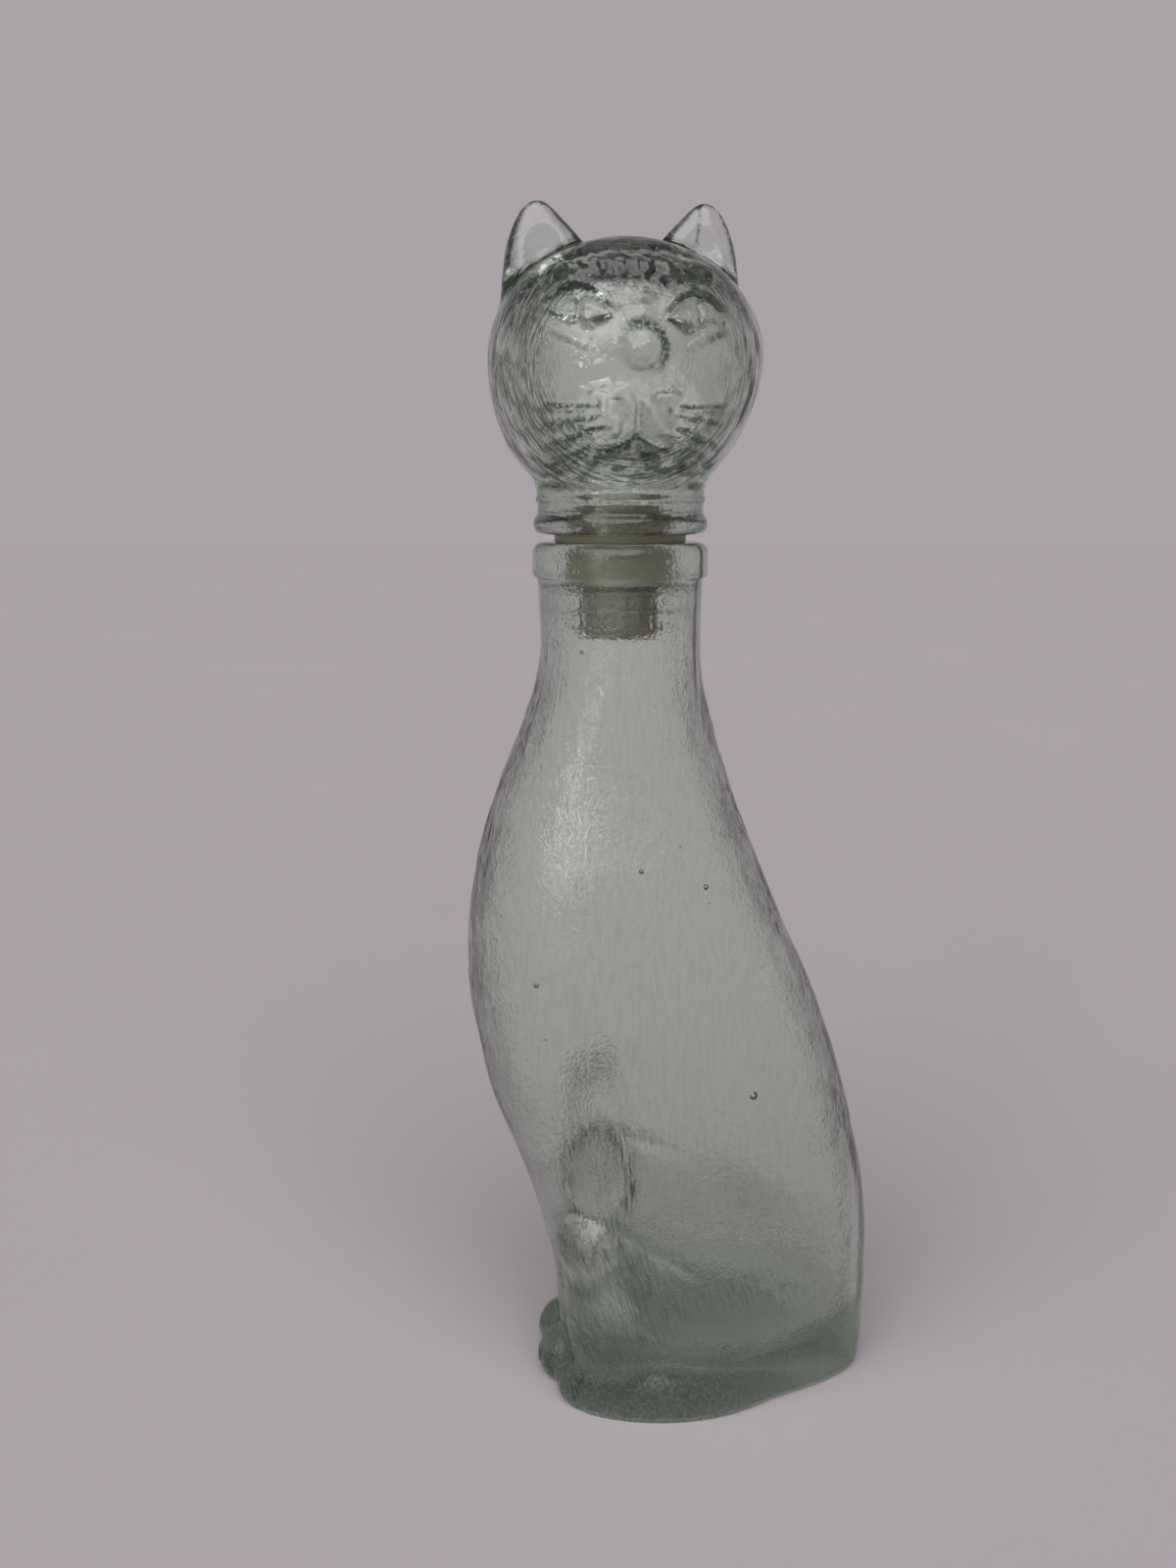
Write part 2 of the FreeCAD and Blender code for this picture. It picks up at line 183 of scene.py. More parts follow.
def turnedShell(rings, lowPole=None, highPole=None):
    # Joins rings of points into one surface, closed by a fan at each pole
    points = np.concatenate(rings)
    starts = np.cumsum([0] + [len(ring) for ring in rings])
    numbers = [np.arange(a, b) for a, b in zip(starts, starts[1:])]
    faces = []
    for lower, upper in zip(numbers, numbers[1:]):
        faces += ringFaces(lower, upper)
    for pole, ring, outwards in ((lowPole, numbers[0], True), (highPole, numbers[-1], False)):
        if pole is None:
            continue
        tip = len(points)
        points = np.concatenate([points, [pole]])
        order = (np.roll(ring, -1), ring) if outwards else (ring, np.roll(ring, -1))
        faces += np.stack([*order, np.full(len(ring), tip)], 1).tolist()
    return points, faces


def netSurface(field, low, high, cell, passes=3, probe=0.06, leastSlope=0.05):
    # A closed quad mesh on the zero of a field, with one vertex in each cell that the surface crosses
    axes = [np.arange(a - 2 * cell, b + 3 * cell, cell) for a, b in zip(low, high)]
    value = field(*np.meshgrid(*axes, indexing="ij"))
    inside = value < 0
    size = np.array(value.shape) - 1

    def corner(array, di, dj, dk):
        return array[di:size[0] + di, dj:size[1] + dj, dk:size[2] + dk]

    count = sum(corner(inside, *at).astype(int) for at in np.ndindex(2, 2, 2))
    crossed = (count > 0) & (count < 8)
    number = np.full(crossed.shape, -1)
    number[crossed] = np.arange(crossed.sum())
    total = np.zeros((crossed.sum(), 3))
    hits = np.zeros(crossed.sum())
    for axis, p, q in np.ndindex(3, 2, 2):
        start, end = np.insert([p, q], axis, 0), np.insert([p, q], axis, 1)
        a, b = corner(value, *start)[crossed], corner(value, *end)[crossed]
        cut = (a < 0) != (b < 0)
        spot = np.tile(start.astype(float), (len(a), 1))
        spot[:, axis] = np.where(cut, a / np.where(cut, a - b, 1), 0)
        total[cut] += spot[cut]
        hits[cut] += 1
    origin = np.array([axis[0] for axis in axes])
    points = origin + (np.argwhere(crossed) + total / hits[:, None]) * cell
    faces = []
    for axis in range(3):
        lower = np.moveaxis(inside, axis, 0)[:-1]
        upper = np.moveaxis(inside, axis, 0)[1:]
        edges = np.argwhere(np.moveaxis(lower != upper, 0, axis))
        leaving = inside[tuple(edges.T)]
        back, side = np.roll(np.eye(3, dtype=int)[axis], 1), np.roll(np.eye(3, dtype=int)[axis], 2)
        around = [number[tuple((edges - shift).T)] for shift in (back + side, side, 0 * side, back)]
        quads = np.stack(around, 1)
        quads[~leaving] = quads[~leaving][:, ::-1]
        faces += quads.tolist()
    for _ in range(passes):
        here = field(*points.T)
        slope = np.stack([
            (field(*(points + step).T) - field(*(points - step).T)) / (2 * probe)
            for step in probe * np.eye(3)
        ], 1)
        pull = here / np.maximum((slope ** 2).sum(1), leastSlope)
        points = points - np.clip(pull, -cell, cell)[:, None] * slope
    return points, faces


# Nodes and their wiring

class Wire:
    # A socket of a node tree; plain maths on wires adds the Math nodes
    def __init__(self, tree, socket=None):
        self.tree, self.socket = tree, socket

    def make(self, kind, sockets=None, output=0, **settings):
        node = self.tree.nodes.new(kind)
        for name, value in settings.items():
            if name == "stops":
                ramp = node.color_ramp.elements
                for element, (position, colour) in zip(ramp, value):
                    element.position = position
                    element.color = (*colour, 1)
            else:
                setattr(node, name, value)
        for key, value in (sockets or {}).items():
            if isinstance(value, Wire):
                self.tree.links.new(value.socket, node.inputs[key])
            else:
                node.inputs[key].default_value = value
        return Wire(self.tree, node.outputs[output] if len(node.outputs) else None)

    def other(self, name):
        # Another output of the same node
        return Wire(self.tree, self.socket.node.outputs[name])

    def noise(self, coords, scale, detail):
        return self.make("ShaderNodeTexNoise", {"Vector": coords, "Scale": scale, "Detail": detail})

    def mark(self, name):
        return self.make("ShaderNodeAttribute", output="Fac", attribute_name=name)

    def maths(self, operation, first, second=0.0):
        return self.make("ShaderNodeMath", {0: first, 1: second}, operation=operation)

    def __add__(self, other):
        return self.maths("ADD", self, other)

    __radd__ = __add__

    def __sub__(self, other):
        return self.maths("SUBTRACT", self, other)

    def __rsub__(self, other):
        return self.maths("SUBTRACT", other, self)

    def __mul__(self, other):
        return self.maths("MULTIPLY", self, other)

    __rmul__ = __mul__

    def __pow__(self, other):
        return self.maths("POWER", self, other)


def newMaterial(name):
    material = bpy.data.materials.new(name)
    material.use_nodes = True
    material.node_tree.nodes.clear()
    return material, Wire(material.node_tree)


def soft(value, low, high):
    # 0 below low, 1 above high, eased between
    return value.make(
        "ShaderNodeMapRange", {"Value": value, "From Min": low, "From Max": high},
        interpolation_type="SMOOTHSTEP",
    )


def bumped(make, height, distance, strength=1.0, under=None):
    sockets = {"Strength": strength, "Distance": distance, "Height": height}
    return make.make("ShaderNodeBump", sockets if under is None else {**sockets, "Normal": under})


def endClear(make, surface, absorbs, density):
    # Ends a material that light passes through, tinted by its depth
    depth = make.make("ShaderNodeVolumeAbsorption", {"Color": (*absorbs, 1), "Density": density})
    make.make("ShaderNodeOutputMaterial", {"Surface": surface, "Volume": depth})


def newTree(name, inputs):
    # A tree of Geometry Nodes with named inputs: its input node, and the inputs' identifiers
    tree = bpy.data.node_groups.new(name, "GeometryNodeTree")
    tree.interface.new_socket("Geometry", in_out="INPUT", socket_type="NodeSocketGeometry")
    identifiers = {
        label: tree.interface.new_socket(label, in_out="INPUT", socket_type=kind).identifier
        for label, kind in inputs.items()
    }
    tree.interface.new_socket("Geometry", in_out="OUTPUT", socket_type="NodeSocketGeometry")
    return Wire(tree).make("NodeGroupInput"), identifiers


def endTree(geometry, material):
    coated = geometry.make("GeometryNodeSetMaterial", {"Geometry": geometry, "Material": material})
    geometry.make("NodeGroupOutput", {"Geometry": coated})
    return geometry.tree


def runNodes(host, tree, inputs):
    # Runs a node tree on an object and leaves its result there as a plain mesh
    modifier = host.modifiers.new(tree.name, "NODES")
    modifier.node_group = tree
    for identifier, value in inputs.items():
        modifier[identifier] = value
    bpy.context.view_layer.update()
    evaluated = host.evaluated_get(bpy.context.evaluated_depsgraph_get())
    mesh = bpy.data.meshes.new_from_object(evaluated)
    host.modifiers.remove(modifier)
    host.data = mesh
    return host


def joined(*parts):
    # Puts the meshes of several objects into one, named as the first
    name, points, faces, shift = parts[0].name, [], [], 0
    for part in parts:
        points.append(np.array([v.co for v in part.data.vertices]) / mm)
        faces += [[v + shift for v in p.vertices] for p in part.data.polygons]
        shift += len(points[-1])
        bpy.data.objects.remove(part)
    return meshObject(name, np.concatenate(points), faces)


# Pale green glass: clear, with fur strokes and an uneven blown surface

glass = {
    "ior": 1.5,
    "absorbs": (0.76, 0.85, 0.765),     # what passes a depth of 1 / density
    "density": 36.0,
    "clear": (0.955, 0.978, 0.945),     # what one surface lets through
    # The next colour is painted shade: it is mixed in where grooves, recesses, pits and the foot band are
    # painted dark
    "shadeColour": (0.06, 0.1, 0.06),         # what the deepest strokes let through
    "strokeDepth": 0.0003, "peelDepth": 0.0002, "pitSpacing": 120.0,
    "bodyStroke": (1150.0, 1150.0, 150.0), "thighSlant": -20.0, "thighTop": (0.045, 0.062),
    "headStroke": (1700.0, 4.5),        # strokes to a metre outwards and to a radian round the face
}


def glassMaterial(name, strokeHeight, mottle):
    material, make = newMaterial(name)
    coords = make.make("ShaderNodeTexCoord", output="Object")
    paintedShade, fur, frost = make.mark("paintedShade"), make.mark("fur"), make.mark("frost")
    peel = make.noise(coords, scale=300.0, detail=4.0)
    speckle = make.noise(coords, scale=1100.0, detail=2.0)
    strokes = strokeHeight(make, coords)
    groove = 1 - soft(strokes, 0.4, 0.54)
    cells = make.make("ShaderNodeTexVoronoi", {"Vector": coords, "Scale": glass["pitSpacing"]})
    chance = make.make("ShaderNodeSeparateXYZ", {"Vector": cells.other("Color")})
    pits = (1 - soft(cells, 0.02, 0.05)) * soft(chance, 0.45, 0.5)
    # Painted shade: the attribute of painted shade, darker stroke grooves where the glass is furred, and
    # darker pits, all mixed towards the colour of painted shade
    paintedShadeMix = paintedShade * (0.3 + 1.1 * soft(speckle, 0.38, 0.6)) + 0.85 * fur * groove
    paintedShadeMix = make.maths("MINIMUM", paintedShadeMix + 0.6 * pits * soft(fur, 0.01, 0.05), 1.0)
    colour = make.make(
        "ShaderNodeMix", {"Factor": paintedShadeMix, "A": (*glass["clear"], 1), "B": (*glass["shadeColour"], 1)}, "Result",
        data_type="RGBA",
    )
    skin = bumped(make, peel - 0.6 * pits + mottle * speckle, glass["peelDepth"])
    normal = bumped(make, strokes * (0.25 + fur), glass["strokeDepth"], under=skin)
    roughness = 0.015 + 0.05 * soft(peel, 0.45, 0.8) + 0.12 * paintedShadeMix + 0.55 * frost
    surface = make.make(
        "ShaderNodeBsdfPrincipled",
        {
            "Base Color": colour, "Roughness": roughness, "Normal": normal,
            "Transmission Weight": 1.0, "IOR": glass["ior"],
            "Coat Weight": frost, "Coat IOR": 1.75, "Coat Roughness": 0.3,
        },
    )
    endClear(make, surface, glass["absorbs"], glass["density"])
    return material


def bodyStrokes(make, coords):
    # Upright strokes all over, and slanted ones on the thighs
    def streaks(turn):
        turned = make.make("ShaderNodeMapping", {"Vector": coords, "Rotation": (turn, 0, 0)})
        placed = make.make("ShaderNodeMapping", {"Vector": turned, "Scale": glass["bodyStroke"]})
        return make.noise(placed, scale=1.0, detail=2.0)

    place = make.make("ShaderNodeSeparateXYZ", {"Vector": coords}, "Z")
    low = 1 - soft(place, *glass["thighTop"])
    return streaks(0.0) * (1 - low) + streaks(math.radians(glass["thighSlant"])) * low


def headStrokes(make, coords):
    # Strokes that run round the face
    turned = make.make(
        "ShaderNodeMapping",
        {"Vector": coords, "Rotation": (0, 0, -math.radians(head["turn"]))},
    )
    across = make.make("ShaderNodeSeparateXYZ", {"Vector": turned})
    height = across.other("Z") - (headBox[0].z + head["faceHeight"] * mm)
    reach = (across * across + height * height) ** 0.5
    angle = make.maths("ARCTAN2", height, across)
    outwards, turns = glass["headStroke"]
    polar = make.make("ShaderNodeCombineXYZ", {0: reach * outwards, 1: angle * turns, 2: 0.0})
    return make.noise(polar, scale=1.0, detail=2.0)


# Bottle

bottle = {
    # height, reach to the front, reach to the back, half width, how much the back is narrower
    "stations": [
        (7, 15.0, 71.4, 24.0, 0.35), (21.6, 16.3, 71.7, 25.0, 0.24), (34.3, 17.8, 71.7, 26.2, 0.24),
        (46.8, 20.9, 71.2, 27.2, 0.22), (65.2, 26.6, 68.7, 28.0, 0.18), (77.3, 31.4, 65.9, 28.3, 0.16),
        (89.3, 35.6, 62.9, 28.5, 0.14), (101, 38.2, 59.2, 28.5, 0.12), (118, 40.8, 53.0, 28.4, 0.1),
        (135.4, 40.7, 45.0, 27.7, 0.07), (152, 38.5, 38.0, 26.4, 0.05), (165, 35.1, 32.8, 24.2, 0.02),
        (178, 30.6, 28.2, 22.4, 0), (190, 25.8, 24.6, 21.6, 0), (205, 21.3, 21.4, 21.2, 0),
        (228, 21.2, 21.2, 21.2, 0),
    ],
    "footRound": 7.0, "footInset": 1.9, "narrowTo": 1.3,
    "wall": 5.5, "neckWall": 4.8, "neckThins": (178, 27),
    "floor": 12.5, "floorRound": 11.0, "floorShares": (0.75, 0.5, 0.25),
    "wave": 0.22, "waveGrain": (1 / 4, 16, 8), "waveTop": (205, 20),     # the hollow's unevenness
    "neckRadius": 21.2,
    "lipRadius": 22.6, "lipBottom": 228.5, "lipTop": 237.5, "lipRound": 2.8, "lipUnder": 1.2,
    "lipFlat": 1.5, "lipRoot": (0.25, 0.15),
    "mouthRadius": 14.9, "mouthDepth": 10.0, "mouthTaper": 13.0, "mouthEdge": 1.3,
    "mouthStart": 4.0, "mouthStep": 0.4,
    "kick": 2.0, "kickFrom": (0.9, 0.55),    # how far the underside is pushed up, and where
    "underShares": (0.15, 0.3, 0.45, 0.6, 0.72, 0.82, 0.9, 0.96),
    "columns": 320, "crowding": 0.25,        # columns crowd towards the legs
    # rows of points: from height to height, and the step between them
    "rows": [(0, 42, 0.75), (42, 64, 0.42), (64, 96, 0.75), (96, 227.3, 2.3)], "insideStep": 2.4,
    "reliefFrom": (-2, 5),
    "seam": 0.5, "seamAngle": 63.0, "seamWidth": 0.55, "seamFrom": (190, 20),
    "dullFloor": (36, 16), "dullUnder": 2.2,            # the glass that the mould leaves frosted
}
bottleForms = [
    # middle, half sizes, how softly it joins; each has a twin across the middle
    {"at": (15.4, 20, 33), "half": (13.2, 30, 23), "blend": 8.0},           # thigh
    {"at": (18.5, -1.0, 31), "half": (11.4, 13.6, 30), "blend": 4.0},       # shin
    {"at": (18.4, -7.4, 50.5), "half": (11.0, 10.1, 11.2), "blend": 4.0},   # knee
    {"at": (15.9, 11.6, 5), "half": (13.2, 29.0, 13.5), "blend": 4.0},      # hind foot
    {"at": (9.0, 16.0, 5), "half": (18.4, 34.0, 13.5), "blend": 3.0},       # heel
    {"at": (18.0, -4.6, 75), "half": (11.4, 10.0, 19.5), "blend": 2.4},     # elbow
    {"at": (7.4, -7.6, 42), "half": (7.4, 9.6, 50), "blend": 3.5},          # front leg
    {"at": (6.5, -13.4, 7), "half": (6.5, 9.4, 9.6), "blend": 1.8},         # front paw
]


def bottleOval(heights):
    oval = through(bottle["stations"], np.maximum(heights, bottle["footRound"]))
    drop = np.clip((bottle["footRound"] - heights) / bottle["footRound"], 0, 1)
    inset = bottle["footInset"] * (1 - np.sqrt(1 - drop ** 2))
    oval[..., :3] -= inset[..., None]
    return oval


def bottleField(x, y, z, oval):
    front, back, half, narrow = oval
    middle, depth = (back - front) / 2, (back + front) / 2
    py = (y - middle) / depth
    half = half * (1 - narrow * np.clip(py, -bottle["narrowTo"], bottle["narrowTo"]))
    field = flatOval(x / half, py, half, depth)
    for form in bottleForms:
        field = roundMin(field, ovoid(np.abs(x), y, z, form["at"], form["half"]), form["blend"])
    return field


# Fur, toes and unevenness of the bottle's outside

coat = {
    "girth": 36,                    # millimetres round the body to each radian
    # step across, step along and seed of each grain
    "upright": (1.5, 9, 3), "slanted": (1.5, 9, 4), "uneven": (7, 7, 5), "tufts": (2.0, 5, 6),
    "gaps": (9, 12, 7), "slant": (0.77, 0.64),
    # where a change starts or ends, and its width
    "side": (8, 4), "ends": (15, 7), "elbowLow": (54, 10), "nearElbow": (83, 5), "farElbow": (74, 6),
    # footFade and footTop shape the band of painted shade round the foot
    "footFade": (15, 45), "footTop": (17, 4),
    # from, width of the rise, to, width of the fall
    "shinAlong": (-18, 4, 22, 18), "shinHeight": (13, 4, 56, 8), "thighAlong": (-5, 5, 25, 16),
    "endsHeight": (50, 20, 214, 20),
    # middles and half sizes; the far elbow's height stands before the near one's
    "elbow": (-5.6, 8.6, 16.8), "elbowHeights": (66, 72), "elbowRing": (0.95, 0.2), "armHalf": (1.8, 6),
    "knee": ((-5, 54), (9, 6)), "rumpHalf": (4, 20), "thighRidge": (0, 2.2), "thighLine": (-2.4, 1.5),
    # grooves between toes: place across, width, where they end behind and above
    "toes": [
        (4.4, 0.7, (-12, 5), (13, 4)), (8.6, 0.7, (-12, 5), (13, 4)),
        (17.2, 0.8, (2, 8), (14, 4)), (23.0, 0.8, (2, 8), (14, 4)),
    ],
}


def bottleRelief(x, y, z, around):
    # Outwards in millimetres, with where shade is painted on the glass, where it is furred and where
    # frosted
    u, across, far = around * coat["girth"], np.abs(x), x < 0
    cosine, sine = coat["slant"]
    upright = grain(coat["upright"], u, z)
    slanted = grain(coat["slanted"], cosine * y + sine * z, sine * y - cosine * z)
    side = rise(across, *coat["side"])
    elbowY, halfY, halfZ = coat["elbow"]
    ring = np.hypot((y - elbowY) / halfY, (z - np.where(far, *coat["elbowHeights"])) / halfZ)
    elbow = bell(ring, *coat["elbowRing"]) * rise(z, *coat["elbowLow"])
    armLine = 85.9 - 0.33 * (y - 2)
    arm = patch(z, y, (armLine, 6), coat["armHalf"])
    knee = patch(y, z, *coat["knee"])
    shin = between(y, *coat["shinAlong"]) * between(z, *coat["shinHeight"])
    thigh = side * between(y, *coat["thighAlong"])
    thighEdge = z - 57.0 + 0.57 * y
    rumpLine = 40 - 0.012 * (y - 34) ** 2
    rump = patch(z, y, (rumpLine, 36), coat["rumpHalf"])
    ends = fall(across, *coat["ends"]) * between(z, *coat["endsHeight"])
    toes = sum(
        bell(across, groove, width) * fall(y, *behind) * fall(z, *above)
        for groove, width, behind, above in coat["toes"]
    )
    height = 0.05 * upright + 0.08 * grain(coat["uneven"], u, z)
    height += 0.32 * side * np.clip(elbow + arm + 0.7 * rump, 0, 1) * upright
    height += 0.2 * side * (shin + knee) * slanted
    height += 0.5 * side * arm + 0.9 * thigh * bell(thighEdge, *coat["thighRidge"])
    height += 0.2 * ends * grain(coat["tufts"], u, z) - 0.7 * toes
    elbow = elbow * np.where(
        far, 1 + 0.6 * rise(z, *coat["farElbow"]), 1 - 0.45 * rise(z, *coat["nearElbow"]),
    )
    fur = side * np.clip(0.95 * elbow + 0.3 * arm + 0.7 * knee + 0.4 * shin + 0.35 * rump, 0, 1)
    fur += 0.95 * ends * ease(grain(coat["gaps"], u, z) + 0.7) + 0.1
    # Painted shade: a dark band round the foot, weaker on the far side and fading towards the back, with
    # dark grooves between the toes
    foot = (0.52 - 0.34 * rise(y, *coat["footFade"])) * fall(z, *coat["footTop"])
    paintedShade = 0.35 * toes + np.where(far, 0.3, 1) * foot
    # Painted shade along the elbow's rim, stronger on the far elbow, and in a line under the thigh's ridge
    paintedShade += np.where(far, 0.9, 0.4) * side * elbow * ease(0.3 - upright)
    paintedShade += 0.4 * thigh * bell(thighEdge, *coat["thighLine"]) * ease(0.3 - slanted)
    return height, paintedShade, fur, 0.25 * side * knee


def columnAngles():
    even = np.linspace(0, 2 * math.pi, bottle["columns"], endpoint=False)
    return even - bottle["crowding"] * np.cos(even)


def columnRays(oval, around):
    # Directions from the middle of each oval, closer together round its narrow ends
    front, back, half, _ = oval
    x, y = np.sqrt(half) * np.cos(around), np.sqrt((front + back) / 2) * np.sin(around)
    length = np.hypot(x, y)
    return x / length, y / length


def seamRidge(turn, radius):
    # The mould's two seams, on opposite sides of the neck and lip
    return sum(
        bottle["seam"] * np.exp(-((turn - math.radians(seam)) * radius / bottle["seamWidth"]) ** 2)
        for seam in (bottle["seamAngle"], bottle["seamAngle"] - 180)
    )


def bottleOutside(farthest=95.0, marches=70, march=0.85):
    heights = np.concatenate([np.arange(*row) for row in bottle["rows"]])
    oval = bottleOval(heights).T[:, :, None]
    around = columnAngles()[None, :]
    dx, dy = columnRays(oval, around)
    middle = (oval[1] - oval[0]) / 2
    z = heights[:, None] + 0 * dx
    reach = np.full(dx.shape, farthest)
    for _ in range(marches):
        reach = reach - march * bottleField(dx * reach, middle + dy * reach, z, oval)
    relief, *marks = bottleRelief(dx * reach, middle + dy * reach, z, around + 0 * dx)
    reach = reach + relief * rise(z, *bottle["reliefFrom"])
    reach += seamRidge(np.arctan2(dy, dx), bottle["neckRadius"]) * rise(z, *bottle["seamFrom"])
    return np.stack([dx * reach, middle + dy * reach, z], 2), *marks


def lipOutline():
    # Radius and height from under the lip, over it and down into the mouth
    under, top, edge = bottle["lipUnder"], bottle["lipRound"], bottle["mouthEdge"]
    neck, lip, mouth = bottle["neckRadius"], bottle["lipRadius"], bottle["mouthRadius"]
    low, high = bottle["lipBottom"], bottle["lipTop"]
    share, drop = bottle["lipRoot"]
    outline = [(neck + (lip - neck) * share, low - drop)]
    outline += arc((lip - under, low + under), under, -70, 0, 5)
    outline += [(lip, high - top - bottle["lipFlat"])]
    outline += arc((lip - top, high - top), top, 0, 90, 8)
    outline += [((lip - top + mouth + edge) / 2, high)]
    outline += arc((mouth + edge, high - edge), edge, 90, 180, 6)
    return outline


def bottleInside(around):
    # Rings down the mouth, the neck and the hollow to the floor
    mouth, step = bottle["mouthRadius"], bottle["mouthStep"]
    mouthLow = bottle["lipTop"] - bottle["mouthDepth"]
    taperLow = mouthLow - bottle["mouthTaper"]
    widen = bottle["neckRadius"] - bottle["neckWall"] - mouth
    straight = np.linspace(bottle["lipTop"] - bottle["mouthStart"], mouthLow + step, 4)
    rings = [circle(mouth, around, z) for z in straight]
    for z in np.linspace(mouthLow - step, taperLow, 5):
        rings.append(circle(mouth + widen * fall(z, mouthLow, bottle["mouthTaper"]), around, z))
    turnZ = bottle["floor"] + bottle["floorRound"]
    bend = bottle["floor"] + bottle["floorRound"] * (1 - np.sin(np.linspace(0, math.pi / 2, 9)))
    descent = np.arange(taperLow - bottle["insideStep"], turnZ, -bottle["insideStep"])
    heights = np.concatenate([descent, bend])
    wall = bottle["wall"] + (bottle["neckWall"] - bottle["wall"]) * rise(heights, *bottle["neckThins"])
    drop = np.clip((turnZ - heights) / bottle["floorRound"], 0, 1)
    inset = wall + bottle["floorRound"] * (1 - np.sqrt(1 - drop ** 2))
    for z, (front, back, half, narrow), shrink in zip(heights, bottleOval(heights), inset):
        front, back, half = front - shrink, back - shrink, half - shrink
        dx, dy = columnRays((front, back, half, narrow), around)
        depth = (front + back) / 2
        reach = 1 / np.hypot(dx / half, dy / depth)
        for _ in range(12):
            reach = 1 / np.hypot(dx / (half * (1 - narrow * dy * reach / depth)), dy / depth)
        wave = bottle["wave"] * grain(bottle["waveGrain"], around, z + 0 * around)
        reach = reach + wave * fall(z, *bottle["waveTop"])
        rings.append(np.stack([dx * reach, (back - front) / 2 + dy * reach, 0 * dx + z], 1))
    return rings


def buildBottle():
    around = columnAngles()
    outside, paintedShade, fur, frost = bottleOutside()
    outline = outside[0]
    centre = np.array([0, (outline[:, 1].max() + outline[:, 1].min()) / 2, 0])
    under = []
    for share in bottle["underShares"]:
        ring = centre + (outline - centre) * share
        ring[:, 2] = bottle["kick"] * fall(share, *bottle["kickFrom"])
        under.append(ring)
    turn = np.arctan2(np.sin(around), np.cos(around))
    lip = []
    for radius, z in lipOutline():
        ridge = seamRidge(turn, radius) if radius > bottle["neckRadius"] else 0
        lip.append(circle(radius + ridge, around, z))
    inside = bottleInside(around[::2])
    floorRing = inside[-1]
    floorMiddle = floorRing.mean(0)
    inside += [floorMiddle + (floorRing - floorMiddle) * share for share in bottle["floorShares"]]
    bottom = centre + np.array([0, 0, bottle["kick"]])
    points, faces = turnedShell([*under, *outside, *lip, *inside], bottom, floorMiddle)
    indoors = np.arange(len(points)) >= bottle["columns"] * (len(under) + len(outside) + len(lip))
    heights = points[:, 2]
    dull = np.where(indoors, fall(heights, *bottle["dullFloor"]), heights < bottle["dullUnder"])
    bare = np.zeros(bottle["columns"] * len(under))
    dull[len(bare):len(bare) + frost.size] += frost.ravel()
    marks = {
        "paintedShade": np.concatenate([bare, paintedShade.ravel()]), "fur": np.concatenate([bare, fur.ravel()]),
        "frost": dull,
    }
    return (points, faces), marks


# Seeds: small bubbles of air in the bottle's wall

seeds = {
    # height and angle round the neck's axis, and radius, of the ones that show most
    "known": [(94.4, 29.4, 1.15), (125, -37, 0.75), (150.7, 37, 0.75), (156, 9, 0.6), (211, -32, 0.6)],
    "count": 90, "smallest": 0.14, "largest": 0.42, "rarity": 3, "low": 12, "high": 222, "seed": 21,
}


def seedPoints():
    rng = np.random.default_rng(seeds["seed"])
    rows = list(seeds["known"])
    for _ in range(seeds["count"]):
        size = seeds["smallest"] + (seeds["largest"] - seeds["smallest"]) * rng.random() ** seeds["rarity"]
        rows.append((rng.uniform(seeds["low"], seeds["high"]), rng.uniform(-180, 180), size))
    points, sizes = [], []
    for z, angle, size in rows:
        front, back, half = bottleOval(np.array([float(z)]))[0, :3] - bottle["wall"] / 2
        t = math.radians(angle)
        points.append((half * math.cos(t), (back - front) / 2 + (front + back) / 2 * math.sin(t), z))
        sizes.append(size)
    return points, sizes


def seedTree(material):
    points, inputs = newTree("airSeeds", {"Radius": "NodeSocketFloat"})
    unit = {"Radius": points.other("Radius"), "Subdivisions": 2}
    ball = points.make("GeometryNodeMeshIcoSphere", unit)
    size = points.make("GeometryNodeInputNamedAttribute", {"Name": "seedSize"}, data_type="FLOAT")
    placed = points.make(
        "GeometryNodeInstanceOnPoints", {"Points": points, "Instance": ball, "Scale": size},
    )
    real = points.make("GeometryNodeRealizeInstances", {"Geometry": placed})
    hollow = points.make("GeometryNodeFlipFaces", {"Mesh": real})
    shaded = points.make("GeometryNodeSetShadeSmooth", {"Geometry": hollow})
    return endTree(shaded, material), inputs


def buildSeeds(material):
    points, sizes = seedPoints()
    host = meshObject("airSeeds", points, [])
    host.data.attributes.new("seedSize", "FLOAT", "POINT").data.foreach_set("value", sizes)
    tree, inputs = seedTree(material)
    return runNodes(host, tree, {inputs["Radius"]: mm})


# Head, with heights above its seat and the face towards -Y until it is turned

